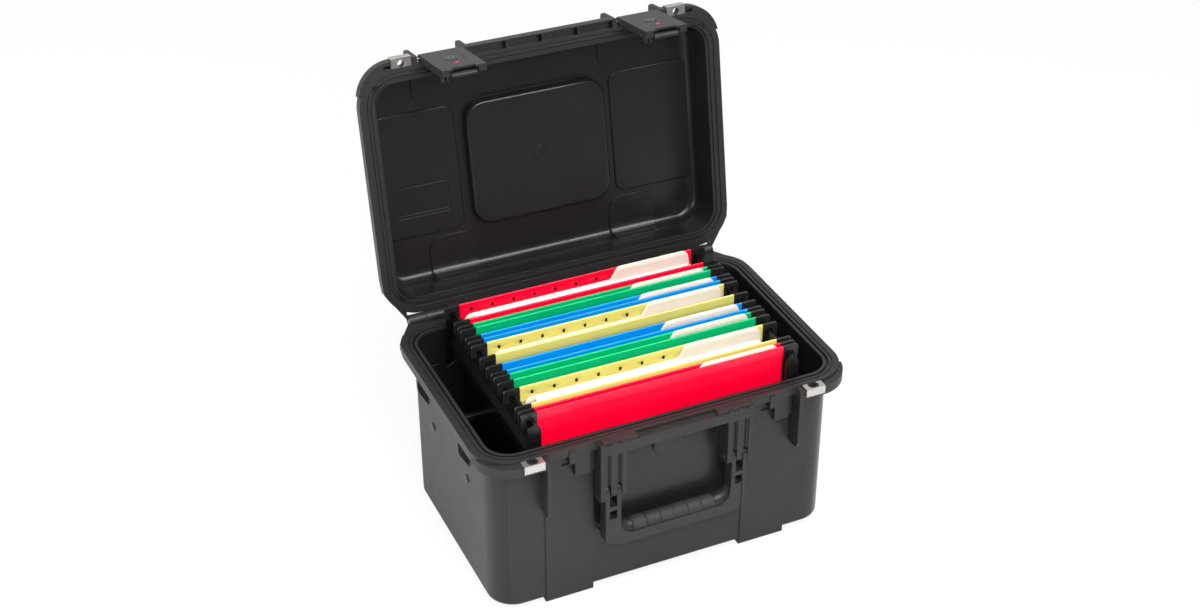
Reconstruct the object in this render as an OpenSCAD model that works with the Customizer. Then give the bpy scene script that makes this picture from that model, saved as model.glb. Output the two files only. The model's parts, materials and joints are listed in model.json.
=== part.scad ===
// Portable file box: moulded case with hinged lid, trigger latches, folding handle and hanging files.
// Units mm, +Z up, front of the case towards -Y, floor plane at z = 0.

/* [Case] */
// Clear width inside the tub
case_inside_width = 416; // [404:2:430]
// Clear depth inside the tub, front to back
case_inside_depth = 262; // [256:2:280]
// Height of the rim above the ground
rim_height = 220; // [216:1:228]
// Thickness of the moulded walls
wall = 4; // [3:0.5:5]
// Radius of the upright inside corners
corner_radius = 28; // [24:1:34]
// Radius of the outside edge between wall and top of the lid
edge_round = 15; // [10:1:18]
// Radius of the outside edge between wall and bottom of the tub
foot_round = 4; // [2:0.5:8]
// Height of the feet under the tub
foot_height = 7; // [4:1:10]
// Width of each foot and of the band above it
foot_width = 58; // [40:2:64]

/* [Rim] */
// How far the flange stands out at the sides
flange_side = 15; // [12:1:18]
// How far the flange stands out at front and back
flange_front = 12; // [10:1:13]
// Thickness of the flange
flange_height = 12; // [8:1:14]
// Width of the seal groove in the rim
groove_width = 3; // [2.5:0.1:4]
// Depth of the seal groove in the rim
groove_depth = 4; // [3:0.5:6]
// Gap left between the two rims when shut
rim_gap = 1; // [0.6:0.1:1.5]

/* [Lid] */
// Room between the folders and the panel in the lid
file_headroom = 5; // [3:1:10]
// Angle at which the lid leans open
lid_open = 100; // [80:1:110]
// Width of the sunk panel in the lid
panel_width = 180; // [140:2:190]
// Length of the sunk panel in the lid
panel_length = 155; // [110:1:160]
// How far the panel stands into the lid
panel_rise = 14; // [6:1:16]
// How far the side pads stand into the lid
pad_rise = 2.5; // [1.5:0.5:3.5]

/* [Hinge] */
// Distance of the hinge axis behind the flange
hinge_back = 12; // [11:0.5:14]
// Radius of the hinge knuckles
knuckle_radius = 7.5; // [6:0.5:8]
// Radius of the hinge pins
hinge_pin_radius = 3; // [2:0.25:4]
// Running clearance on every pin, radial
pin_clearance = 0.08; // [0.03:0.01:0.1]

/* [Latches] */
// Distance of each latch from the side wall
latch_inset = 84.5; // [82:0.5:87]
// Width of the latch body
latch_width = 52; // [46:1:55]
// Length of the latch below its pin
latch_length = 80; // [76:1:84]
// Free width between the latch fins
latch_bay = 59; // [58:0.5:61]
// Radius of the latch pin
latch_pin_radius = 2; // [1.5:0.25:2.5]
// Radius of the lock cylinder
lock_radius = 7.5; // [5:0.25:8]
// Reach of the hook under the strike when latched
hook_depth = 2.9; // [2.2:0.1:3.4]

/* [Handle] */
// Gap between the handle and the fins beside it
handle_side = 2; // [1:0.5:4]
// Distance from the handle pin to the bottom edge of the handle
handle_drop = 78; // [66:1:82]
// Width of each handle arm
arm_width = 19; // [18:0.5:20]
// Radius of the rubber grip
grip_radius = 10.5; // [9:0.5:10.5]
// Radius of the handle pins
handle_pin_radius = 2.5; // [2:0.25:3.5]

/* [Files] */
// Width of a hanging folder
folder_width = 302; // [296:1:304]
// Height of a hanging folder
folder_height = 236; // [226:1:238]
// Thickness of the folder stock
folder_stock = 0.8; // [0.5:0.1:1.2]
// Room between the folders and the floor of the tub
folder_gap = 9; // [6:1:12]
// Distance between the middles of the two rails
rail_span = 315; // [311:1:318]
// Thickness of the rails
rail_thick = 3; // [2:0.25:3.5]
// Thickness of the plastic hooks on the hanger rods
hook_t = 3; // [2:0.2:3.4]

/* [Hidden] */
$fn = 48;
e = 0.01;
ix = case_inside_width / 2;
iy = case_inside_depth / 2;
ox = ix + wall;
oy = iy + wall;
out_r = corner_radius + wall;
fx = ox + flange_side;
fy = oy + flange_front;
flange_r = out_r + flange_front;
floor_z = foot_height + wall;
front_y = fy + 10;
lid_z = rim_height + rim_gap;
folder_low = floor_z + folder_gap;
folder_top = folder_low + folder_height;
rail_height = folder_top - 8;
lid_in = folder_top + file_headroom + panel_rise;
lid_top = lid_in + wall;
hinge_y = fy + hinge_back;
hinge_z = rim_height + rim_gap;
skirt_top = lid_z + flange_height;
latch_offset = ix - latch_inset;
fin_in = latch_offset - latch_bay / 2;
fin_out = latch_offset + latch_bay / 2;
fin_t = 4;
fin_low = rim_height - 82;
eye_x = fin_out + fin_t + 15;
eye_y = fy + 4.6;
eye_hole = 4.4;
eye_t = 1.8;
latch_y = front_y - 5.2;
latch_z = lid_z + 5.5;
tower_top = rim_height - 17;
tower_back = oy - 7;
slot_top = rim_height - 60;
handle_z = rim_height - 70;
handle_y = front_y - 8;
handle_low = handle_z - handle_drop;
handle_width = 2 * (fin_in - fin_t - handle_side);
arm_in = handle_width / 2 - arm_width;
prong = 5;
rib = arm_width - 2 * prong - 2;
grip_z = handle_low + 13;
grip_y = handle_y - 5.8;
bend = 17;
pocket_d = 6;
pad_x = panel_width / 2 + 10;
pad_y = panel_length / 2 - 0.5;
rail_x = rail_span / 2;
panel_top = rim_height - 15;
knuckle = [[ix - 79, ix - 58.5], [ix - 58, ix - 28], [ix - 27.5, ix - 7]];
lip_x = ix - 79.5;
bar = fin_in / 94;
hook_swing = 3.9;
seg = (2 * arm_in - 34) / 6;
frame_front = iy - 5;
screw_z = rim_height - 81;
// folder places scale with the depth of the tub
fd = (iy - 11) / 120;
fold_a = [118 * fd, 74 * fd, 49.5 * fd, 31 * fd, -15 * fd, -37 * fd, -66 * fd, -108 * fd];
fold_b = [84 * fd, 65 * fd, 39.5 * fd, 4 * fd, -30 * fd, -50 * fd, -100 * fd, -116 * fd];
screw_y = [56 * fd, -52 * fd];
div_left = 86 * fd;
div_right = -42 * fd;

module rrect(w, d, r) {
  square([w - 2 * r, d], center = true);
  square([w, d - 2 * r], center = true);
  for (i = [-1, 1])
    for (j = [-1, 1])
      translate([i * (w / 2 - r), j * (d / 2 - r)]) circle(r);
}

// outline of the opening grown by g
module opening(g) {
  rrect(2 * (ix + g), 2 * (iy + g), corner_radius + g);
}

// outline of the flange: front corners reach forward to the eyes, the back edge to the hinge
module flange_outline() {
  rrect(2 * fx, 2 * fy, flange_r);
  translate([0, hinge_back - 8.2]) rrect(2 * fx - 0.6, 2 * fy, flange_r - 0.3);
}

module corner_outline() {
  translate([fin_out, -front_y + 0.4]) square([fx - flange_r - fin_out, flange_r]);
  intersection() {
    translate([fx - flange_r, -front_y + 0.4 + flange_r - 0.3]) circle(flange_r - 0.3);
    translate([fx - flange_r - 1, -front_y]) square([flange_r + 5, flange_r - 8]);
  }
}

// half outline from the middle out to h, from the rounded end z0 to the plain end z1
module soft_half(h, f, z0, z1) {
  zc = z1 > z0 ? z0 + f : z0 - f;
  translate([0, min(zc, z1)]) square([h, abs(z1 - zc)]);
  translate([0, min(z0, z1)]) square([h - f, abs(z1 - z0)]);
  translate([h - f, zc]) circle(f);
}

// box rounded at its upright edges and along its edge at z0; z1 is the height of its plain end
module soft_tub(hx, hy, r, f, z0, z1) {
  translate([r - hx, 0, 0]) rotate([90, 0, 90]) linear_extrude(2 * (hx - r)) both() soft_half(hy, f, z0, z1);
  translate([0, hy - r, 0]) rotate([90, 0, 0]) linear_extrude(2 * (hy - r)) both() soft_half(hx, f, z0, z1);
  for (i = [-1, 1])
    for (j = [-1, 1])
      translate([i * (hx - r), j * (hy - r), 0]) rotate_extrude() intersection() {
        soft_half(r, f, z0, z1);
        translate([0, -500]) square([r + 1, 1000]);
      }
}

module box(x0, x1, y0, y1, z0, z1) {
  translate([x0, y0, z0]) cube([x1 - x0, y1 - y0, z1 - z0]);
}

// plate standing in the YZ plane, from x0 to x1, with a drawn YZ outline
module side_plate(x0, x1) {
  translate([x0, 0, 0]) rotate([90, 0, 90]) linear_extrude(x1 - x0) children();
}

// solid drawn in XZ, from y0 (front) back to y1
module front_plate(y0, y1) {
  translate([0, y1, 0]) rotate([90, 0, 0]) linear_extrude(y1 - y0) children();
}

module opened() {
  translate([0, hinge_y, hinge_z]) rotate([-lid_open, 0, 0]) translate([0, -hinge_y, -hinge_z]) children();
}

module both() {
  children();
  mirror([1, 0, 0]) children();
}

/* ---- tub ---- */
module fin_outline() {
  translate([-front_y + 8, fin_low]) square([front_y - oy - 7, rim_height - 2 - fin_low]);
  translate([-front_y, fin_low + 8]) square([front_y - oy + 1, rim_height - 2 - fin_low - 8]);
  translate([-front_y + 8, fin_low + 8]) circle(8);
}

module tower_plate(x0, x1, low) {
  side_plate(x0, x1) {
    translate([-front_y + 5, low]) square([front_y - 5 - tower_back, rim_height - 2 - low]);
    translate([-front_y, low + 5]) square([front_y - tower_back, rim_height - 2 - low - 5]);
    translate([-front_y + 5, low + 5]) circle(5);
  }
}

module strike(c) {
  box(c + 4, c + 22.5, -oy - 10.5, -oy + 1, rim_height - 42, rim_height - flange_height + 1);
  box(c + 22, fin_out + c - latch_offset + 1, -oy - 4, -oy + 1, rim_height - 44, rim_height - flange_height + 1);
  box(c - 4, c + 3, -fy - 1.5, -oy + 1, rim_height - 21, rim_height - 5);
  box(c + 2.5, c + 5, -oy - 9, -oy + 1, rim_height - 26, rim_height - flange_height + 1);
  box(c - latch_bay / 2 - 1, c - 9, -oy - 1.5, -oy + 1, rim_height - 42, rim_height - flange_height + 1);
}

// band up the wall that turns into a foot under the tub
module band() {
  side_plate(latch_offset - foot_width / 2, latch_offset + foot_width / 2) {
    translate([-oy - 1.5, foot_round]) square([40, rim_height - 30 - foot_round]);
    translate([-oy - 1.5 + foot_round, 0]) square([50, edge_round + 5]);
    translate([-oy - 1.5 + foot_round, foot_round]) circle(foot_round);
  }
}

module tub() {
  difference() {
    union() {
      soft_tub(ox, oy, out_r, foot_round, foot_height, rim_height - 1);
      translate([0, 0, rim_height - flange_height]) linear_extrude(flange_height) flange_outline();
      // pad under the middle of the floor
      linear_extrude(foot_height + 1) rrect(foot_width + 12, foot_width, 12);
      both() {
        band();
        mirror([0, 1, 0]) band();
      }
    }
    difference() {
      soft_tub(ix, iy, corner_radius, edge_round - wall, floor_z, rim_height + 20);
      front_plate(-iy - 1, -iy + pocket_d) handle_pocket(wall - 0.5);
    }
    // finger pocket behind the handle
    front_plate(-oy - 3, -oy + pocket_d) handle_pocket(0);
  }
}

module base_body() {
  tub();
  both() {
    // latch fins
    side_plate(fin_in - fin_t, fin_in) fin_outline();
    side_plate(fin_out, fin_out + fin_t) fin_outline();
    // handle towers
    tower_plate(arm_in - 0.5 - 6, arm_in - 0.5, slot_top - 17);
    tower_plate(arm_in + prong + 0.5, arm_in + prong + 0.5 + rib, slot_top - 17);
    tower_plate(handle_width / 2 + 0.5, fin_in, slot_top - 22);
    box(arm_in - 6.5, fin_in, -front_y + 1.5, -tower_back, slot_top, rim_height - 2);
    // gusset under the padlock eye
    translate([0, 0, rim_height - 14.5]) linear_extrude(11.9) difference() {
      corner_outline();
      opening(2);
    }
    // collar that fills the steel eye
    translate([0, 0, rim_height - 5]) linear_extrude(4.4) intersection() {
      translate([eye_x, -eye_y]) union() {
        circle(6.3);
        translate([-3.2, 0]) square([6.4, 8]);
      }
      translate([eye_x - 10, -front_y + 0.1]) square([20, front_y - fy + 2]);
    }
    // ribs under the side flange
    for (y = [70 * fd, -60 * fd]) front_plate(y - 2, y + 2)
      polygon([[ox - 1, rim_height - flange_height + 1], [fx - 3, rim_height - flange_height + 1], [fx - 3, rim_height - 32], [fx - 4, rim_height - 37], [ox - 1, rim_height - 60]]);
    // hinge knuckles
    for (k = [knuckle[0], knuckle[2]]) {
      translate([k[0], hinge_y, hinge_z]) rotate([0, 90, 0]) cylinder(h = k[1] - k[0], r = knuckle_radius);
      box(k[0], k[1], fy - 4, hinge_y, rim_height - 9, rim_height - 0.5);
    }
    // web from the outer knuckle to the corner
    translate([0, 0, rim_height - 9]) linear_extrude(8.5) difference() {
      polygon([[knuckle[2][0], fy - 20], [knuckle[2][0], hinge_y - 0.5], [knuckle[2][1], hinge_y - 0.5], [fx - 1.2, fy - 27], [fx - 1.2, fy - 45]]);
      opening(2);
    }
  }
  // ledge behind the flange that stops the open lid
  box(-lip_x - 1, lip_x + 1, fy - 4, hinge_y + 7, rim_height - 9, rim_height - 0.6);
  // bar between the towers with its two pads
  box(-fin_in, fin_in, -front_y, -oy + 4, tower_top, rim_height - 4.5);
  both() box(fin_in - 45 * bar, fin_in - 3, -front_y + 1.5, -fy + 1, rim_height - 5.5, rim_height + rim_gap / 2);
  strike(-latch_offset);
  strike(latch_offset);
}

module base_shell() color([0.27, 0.27, 0.28]) {
  difference() {
    base_body();
    // seal groove and outer rim line
    translate([0, 0, rim_height - groove_depth]) linear_extrude(20) difference() {
      opening(5 + groove_width / 2);
      opening(5 - groove_width / 2);
    }
    translate([0, 0, rim_height - 1.5]) linear_extrude(20) difference() {
      opening(11.2);
      opening(9.4);
    }
    // pin and screw holes
    both() {
      translate([knuckle[0][0] - 1, hinge_y, hinge_z]) rotate([0, 90, 0]) cylinder(h = 74, r = hinge_pin_radius + pin_clearance);
      translate([arm_in - 8, -handle_y, handle_z]) rotate([0, 90, 0]) cylinder(h = arm_width + 7 + fin_t + 5, r = handle_pin_radius + pin_clearance);
      for (y = screw_y)
        translate([ix - 1, y, screw_z]) rotate([0, 90, 0]) cylinder(h = wall + 4, r = 2.6);
      for (y = screw_y)
        translate([ox - 1, y, screw_z]) rotate([0, 90, 0]) cylinder(h = 5, r = 5);
      translate([eye_x, -eye_y, rim_height - 20]) cylinder(h = 30, r = eye_hole);
      // grooves in the tower faces
      for (x = [arm_in + 1, handle_width / 2 - 5])
        box(x, x + 3, -front_y - 1, -front_y + 3.5, slot_top - 1, tower_top - 2);
    }
    // seat of the boss plate
    translate([0, -oy + pocket_d + 1.2, tower_top - 25]) rotate([90, 0, 0]) cylinder(h = 8, r = 3.1);
  }
}

module handle_pocket(g) {
  w = 2 * (fin_in - fin_t) + 2 * g + 5;
  translate([0, handle_low + 62]) rrect(w, 2 * (66 + g), 36 + g);
}

module boss_plate() color([0.3, 0.3, 0.31]) {
  translate([0, -oy + pocket_d - 0.2, tower_top - 25]) rotate([90, 0, 0]) cylinder(h = 3, r = 18);
  translate([0, -oy + pocket_d - 3, tower_top - 25]) rotate([90, 0, 0]) cylinder(h = 0.8, r = 17);
  translate([0, -oy + pocket_d + 0.9, tower_top - 25]) rotate([90, 0, 0]) cylinder(h = 2, r = 3);
}

module eye(z0, up) {
  difference() {
    box(eye_x - 12, eye_x + 12, -front_y - 2, -fy - 0.4, z0, z0 + eye_t);
    if (up > 0) translate([eye_x, -eye_y, z0 - 1]) cylinder(h = eye_t + 2, r = eye_hole);
    else translate([0, 0, z0 - 1]) linear_extrude(eye_t + 2) intersection() {
      translate([eye_x, -eye_y]) union() {
        circle(6.6);
        translate([-3.5, 0]) square([7, 8]);
      }
      translate([eye_x - 10, -front_y - 2 + eye_t]) square([20, 20]);
    }
  }
  box(eye_x - 12, eye_x + 12, -front_y - 2, -front_y - 2 + eye_t, up > 0 ? z0 : z0 + eye_t - 10, up > 0 ? z0 + 10 : z0 + eye_t);
}

module base_eye_right() color([0.75, 0.75, 0.77]) eye(rim_height - 2.3, -1);
module base_eye_left() color([0.75, 0.75, 0.77]) mirror([1, 0, 0]) eye(rim_height - 2.3, -1);

module hinge_pin() {
  translate([knuckle[0][0] + 0.5, hinge_y, hinge_z]) rotate([0, 90, 0]) cylinder(h = knuckle[2][1] - knuckle[0][0] - 1, r = hinge_pin_radius);
}
module hinge_pin_right() color([0.6, 0.6, 0.62]) hinge_pin();
module hinge_pin_left() color([0.6, 0.6, 0.62]) mirror([1, 0, 0]) hinge_pin();

/* ---- handle ---- */
module handle_outline() {
  difference() {
    union() {
      translate([26 - handle_width / 2, handle_low]) square([handle_width - 52, 40]);
      both() intersection() {
        translate([handle_width / 2 - 26, handle_low + 39]) circle(39);
        translate([0, handle_low]) square([handle_width / 2, 41]);
      }
      both() translate([arm_in, handle_low + 39]) square([arm_width, handle_z - handle_low - 39]);
    }
    translate([0, handle_low + 93.6]) rrect(2 * arm_in, 160, bend);
    // windows and fork slots in the arms
    both() translate([arm_in + prong, handle_z - 37.5]) square([rib + 2, 11.7]);
    both() translate([arm_in + prong, handle_z - 20.3]) square([rib + 2, 60]);
  }
}

module handle_frame() color([0.29, 0.29, 0.3]) {
  difference() {
    union() {
      difference() {
        front_plate(-handle_y - 7.5, -handle_y + 8) handle_outline();
        // bed of the grip
        translate([0, -grip_y, grip_z]) rotate([0, 90, 0]) cylinder(h = 2 * (arm_in - bend), r = grip_radius + 0.3, center = true);
      }
      both() for (x = [arm_in, arm_in + arm_width - prong])
        translate([x, -handle_y, handle_z]) rotate([0, 90, 0]) cylinder(h = prong, r = 7.4);
      // core of the grip
      translate([0, -grip_y, grip_z]) rotate([0, 90, 0]) cylinder(h = 2 * (arm_in - bend) + 6, r = 5, center = true);
      // round bends from the grip up into the arms
      both() intersection() {
        translate([arm_in - bend, -grip_y, grip_z + grip_radius + bend]) rotate([90, 0, 0]) rotate_extrude() translate([bend + grip_radius, 0]) circle(grip_radius - 0.6);
        box(arm_in - bend, arm_in + 9, -grip_y - 15, -grip_y + 15, handle_low + 4, grip_z + grip_radius + bend);
      }
    }
    // strip and lower arms set back behind the outer ribs
    box(-handle_width / 2 + prong - 0.5, handle_width / 2 - prong + 0.5, -handle_y - 9, -handle_y - 6.2, handle_low - 1, handle_z - 40.5);
    both() translate([arm_in - 1, -handle_y, handle_z]) rotate([0, 90, 0]) cylinder(h = arm_width + 2, r = handle_pin_radius + pin_clearance);
  }
}

module handle_grip() color([0.2, 0.2, 0.21]) {
  difference() {
    union() {
      translate([0, -grip_y, grip_z]) rotate([0, 90, 0]) cylinder(h = 2 * (arm_in - bend - 0.3), r = grip_radius - 0.8, center = true);
      for (k = [-2.5 : 1 : 2.5])
        translate([k * seg, -grip_y, grip_z]) rotate([0, 90, 0]) cylinder(h = seg - 1.6, r = grip_radius, center = true);
    }
    translate([0, -grip_y, grip_z]) rotate([0, 90, 0]) cylinder(h = 2 * arm_in, r = 5 + 0.1, center = true);
  }
}

module handle_pins() color([0.6, 0.6, 0.62]) {
  both() translate([arm_in - 6, -handle_y, handle_z]) rotate([0, 90, 0]) cylinder(h = arm_width + 6 + fin_t + 0.5, r = handle_pin_radius);
}

/* ---- file frames ---- */
module frame(div_y) {
  difference() {
    union() {
      // lower panel, ledge and rail
      front_plate(-frame_front, frame_front) {
        translate([rail_x + 3, floor_z + 4]) square([3, panel_top - floor_z - 4]);
        translate([rail_x - rail_thick / 2, panel_top - 6]) square([6 + rail_thick / 2, 6]);
        translate([rail_x - rail_thick / 2, panel_top - 6]) square([rail_thick, rail_height - panel_top + 6]);
      }
      // front and back posts
      for (y = [-frame_front, frame_front - 3])
        front_plate(y, y + 3) {
          translate([rail_x - 7, floor_z + 30]) square([16, rail_height - 10 - floor_z - 30]);
          translate([rail_x + 1, rail_height - 11]) circle(8);
        }
      for (y = [-95 * fd, 75 * fd]) box(rail_x + 3, rail_x + 6, y, y + 20, floor_z + 0.3, floor_z + 5);
      // spacers to the wall and hook strips for the divider
      for (y = screw_y)
        translate([rail_x + 5, y, screw_z]) rotate([0, 90, 0]) cylinder(h = ix - rail_x - 5.3, r = 6);
      for (s = [-1, 1])
        box(rail_x + 5.5, rail_x + 9, div_y + s * 2.65 - 1, div_y + s * 2.65 + 1, floor_z + 20, panel_top - 5);
    }
    for (y = screw_y)
      translate([rail_x + 20, y, screw_z]) rotate([0, 90, 0]) cylinder(h = 60, r = 1.95);
  }
}
module file_frame_right() color([0.22, 0.22, 0.23]) frame(div_right);
module file_frame_left() color([0.22, 0.22, 0.23]) mirror([1, 0, 0]) frame(div_left);

module divider(y) {
  difference() {
    union() {
      box(rail_x + 6.3, ix - 14, y - 1.3, y + 1.3, floor_z + 0.3, panel_top - 2);
      box(rail_x + 6.3, ix - 0.5, y - 1.3, y + 1.3, floor_z + edge_round, panel_top - 2);
    }
    translate([rail_x + 24, y, panel_top + 4]) rotate([90, 0, 0]) cylinder(h = 10, r = 12, center = true);
  }
}
module divider_right() color([0.24, 0.24, 0.25]) divider(div_right);
module divider_left() color([0.24, 0.24, 0.25]) mirror([1, 0, 0]) divider(div_left);

module wall_screws() color([0.35, 0.35, 0.36]) {
  both() for (y = screw_y) {
    translate([rail_x + 24, y, screw_z]) rotate([0, 90, 0]) cylinder(h = ox - rail_x - 24, r = 1.9);
    difference() {
      translate([ox - 0.7, y, screw_z]) rotate([0, 90, 0]) cylinder(h = 2.2, r = 4.6);
      translate([ox + 0.6, y, screw_z]) cube([3, 1.2, 6], center = true);
      translate([ox + 0.6, y, screw_z]) cube([3, 6, 1.2], center = true);
    }
  }
}

/* ---- lid, drawn shut and then opened ---- */
// outline of the lid flange with the front bar, the open latch bays and the hinge lip
module lid_plate() {
  difference() {
    union() {
      flange_outline();
      translate([-fx + flange_r, -front_y]) square([2 * (fx - flange_r), front_y - fy + 12]);
      both() corner_outline();
      translate([-lip_x, fy - 4]) square([2 * lip_x, hinge_back + 2.5]);
      // rear corners beside the hinges
      both() polygon([[knuckle[2][1] + 0.6, fy - 20], [knuckle[2][1] + 0.6, hinge_y - 1], [fx - 1.2, fy - 27], [fx - 1.2, fy - 45]]);
    }
    both() translate([fin_in, -front_y - 5]) square([latch_bay, front_y + 5 - fy]);
  }
}

module ear_outline() {
  translate([-front_y, lid_z]) square([front_y - oy + 1, 32]);
  translate([-front_y + 6, lid_z + 31]) square([front_y - oy - 5, 7]);
  translate([-front_y + 6.5, lid_z + 31.5]) circle(6.5);
}

module lid_body() {
  soft_tub(ox, oy, out_r, edge_round, lid_top, lid_z + 1);
  translate([0, 0, lid_z]) linear_extrude(flange_height) lid_plate();
  both() {
    side_plate(fin_in - fin_t, fin_in) ear_outline();
    side_plate(fin_out, fin_out + fin_t) ear_outline();
    translate([knuckle[1][0], hinge_y, hinge_z]) rotate([0, 90, 0]) cylinder(h = knuckle[1][1] - knuckle[1][0], r = knuckle_radius);
    box(knuckle[1][0], knuckle[1][1], fy - 4, hinge_y, hinge_z + 1, hinge_z + 7);
    // stacking pads over the feet of a case standing on top
    for (s = [-1, 1])
      translate([latch_offset - 5, s * (oy - edge_round - 20), lid_top - 1]) linear_extrude(3.5) rrect(60, 40, 8);
  }
}

// forms that stand into the lid: middle panel, side pads and four lumps at the walls
module lid_forms() {
  soft_tub(panel_width / 2, panel_length / 2, 24, 5, lid_in - panel_rise, lid_in + 2);
  both() translate([(pad_x + ix + 1) / 2, 0, 0]) soft_tub((ix + 1 - pad_x) / 2, pad_y, 13, pad_rise - 0.3, lid_in - pad_rise, lid_in + 1.5);
  difference() {
    both() for (s = [-1, 1])
      translate([latch_offset - 5, s * (iy - 20), lid_in - 22]) linear_extrude(23.5) rrect(60, 56, 17);
    soft_tub(ix - 0.4, iy - 0.4, corner_radius - 0.4, edge_round - wall + 4, lid_in - 3, lid_z - 21);
  }
}

module lid_shell_shut() {
  difference() {
    lid_body();
    difference() {
      soft_tub(ix, iy, corner_radius, edge_round - wall, lid_in, lid_z - 20);
      lid_forms();
    }
    // sunk field on the outside
    translate([0, 0, lid_top - panel_rise - 0.01]) linear_extrude(40) rrect(panel_width - 2 * wall, panel_length - 2 * wall, 20);
    // moulded ring in the panel, label recess in the left pad
    translate([0, 0, lid_in - panel_rise - 1]) linear_extrude(1.5) difference() {
      circle(9);
      circle(8.2);
    }
    translate([-ix + 58, 32 * fd, lid_in - pad_rise - 1]) linear_extrude(2) difference() {
      rrect(68, 40, 2);
      for (s = [-1, 1]) translate([0, s * 17]) square([62, 1.6], center = true);
    }
    // seal groove
    translate([0, 0, lid_z - 1]) linear_extrude(5.5) difference() {
      opening(5 + groove_width / 2 - 0.4);
      opening(5 - groove_width / 2 + 0.4);
    }
    translate([0, 0, lid_z - 1]) linear_extrude(2.5) difference() {
      opening(11.2);
      opening(9.4);
    }
    // cells of the front bar
    for (c = [[-88, -45.5], [-43, -0.5], [2, 44.5], [47, 89]]) {
      box(c[0] * bar, c[1] * bar, -front_y + 1.8, -fy + 0.6, lid_z - 1, lid_z + 4);
      box(c[1] * bar - 5, c[1] * bar, -front_y + 1.8, -fy + 0.6, lid_z - 1, lid_z + flange_height - 2);
    }
    both() {
      // room for the eye
      box(eye_x - 12.6, eye_x + 12.6, -front_y - 9, -fy - 0.1, lid_z - 1, lid_z + 0.5 + eye_t + 0.3);
      box(eye_x - 12.6, eye_x + 12.6, -front_y - 9, -front_y + 0.2, lid_z - 1, lid_z + 20);
      box(eye_x + 13.5, eye_x + 21, -front_y + 5, -fy - 1, lid_z - 1, lid_z + 8);
      translate([eye_x, -eye_y, lid_z - 5]) cylinder(h = 40, r = eye_hole);
      translate([knuckle[0][0] - 1, hinge_y, hinge_z]) rotate([0, 90, 0]) cylinder(h = 74, r = hinge_pin_radius + pin_clearance);
      translate([fin_in - fin_t - 1, -latch_y, latch_z]) rotate([0, 90, 0]) cylinder(h = latch_bay + 2 * fin_t + 2, r = latch_pin_radius + pin_clearance);
    }
  }
}
module lid_shell() color([0.25, 0.25, 0.26]) opened() lid_shell_shut();

module rim_seal() color([0.1, 0.1, 0.1]) opened() {
  translate([0, 0, lid_z - 1.6]) linear_extrude(5.6) difference() {
    opening(5 + groove_width / 2 - 0.7);
    opening(5 - groove_width / 2 + 0.7);
  }
}

module lid_eye_right() color([0.75, 0.75, 0.77]) opened() eye(lid_z + 0.5, 1);
module lid_eye_left() color([0.75, 0.75, 0.77]) opened() mirror([1, 0, 0]) eye(lid_z + 0.5, 1);

/* ---- latches, drawn shut, at the middle of the case ---- */
latch_low = latch_z - latch_length;
plate_y = front_y;
lock_z = latch_z - 37;
button_z = latch_z - 57;
hook_z = rim_height - 43.2;
trig_y = front_y - 7;
trig_z = latch_low + 15;

module latch_body() {
  difference() {
    union() {
      // face and side walls
      box(-latch_width / 2, latch_width / 2, -plate_y, -plate_y + 2.5, latch_low, latch_z);
      for (s = [-1, 1])
        box(s > 0 ? latch_width / 2 - 3 : -latch_width / 2, s > 0 ? latch_width / 2 : -latch_width / 2 + 3, -plate_y, -plate_y + 9, latch_low + 2, latch_z);
      translate([-latch_width / 2, -latch_y, latch_z]) rotate([0, 90, 0]) cylinder(h = latch_width, r = 4.5);
      // lugs beside the trigger and hooks on the inner side
      for (s = [-1, 1])
        box(s * (latch_width / 2 - 4.5) - 4.5, s * (latch_width / 2 - 4.5) + 4.5, -plate_y, -plate_y + 8, latch_low, latch_low + 7);
      box(6, 21, -plate_y + 1, -oy - 10.5 - hook_swing + hook_depth, hook_z - 4, hook_z);
      box(6, 21, -plate_y + 1, -plate_y + 6, hook_z - 12, hook_z - 3);
      for (x = [-latch_width / 2, -latch_width / 2 + 5])
        box(x, x + 2.2, -plate_y + 7, -plate_y + 14, latch_low + 2, latch_low + 9);
    }
    // finger scoop, trigger pocket, lock bore, button seat and slit
    box(-13.5, 13.5, -plate_y - 1, -plate_y + 12, latch_low - 1, latch_low + 5);
    translate([0, -plate_y + 10, lock_z]) rotate([90, 0, 0]) cylinder(h = 20, r = lock_radius + 0.1);
    translate([0, -plate_y + 10, button_z]) rotate([90, 0, 0]) cylinder(h = 20, r = 2.4);
    box(13.5, 14.3, -plate_y - 1, -plate_y + 0.8, latch_z - 44, latch_z - 32);
    translate([-40, -latch_y, latch_z]) rotate([0, 90, 0]) cylinder(h = 80, r = latch_pin_radius + pin_clearance);
    translate([-latch_width / 2 - 1, -trig_y, trig_z]) rotate([0, 90, 0]) cylinder(h = latch_width + 2, r = 1.2 + pin_clearance);
  }
}

module latch_trigger() {
  difference() {
    union() {
      box(-16, 16, -trig_y - 1.4, -trig_y + 1.6, latch_low + 2.5, trig_z + 2);
      translate([-22.6, -trig_y, trig_z]) rotate([0, 90, 0]) cylinder(h = 45.2, r = 2.6);
      translate([0, -trig_y + 1.6, latch_low + 2.5]) rotate([90, 0, 90]) cylinder(h = 30, r = 2.6, center = true);
    }
    translate([-30, -trig_y, trig_z]) rotate([0, 90, 0]) cylinder(h = 60, r = 1.2 + pin_clearance);
  }
}

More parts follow.
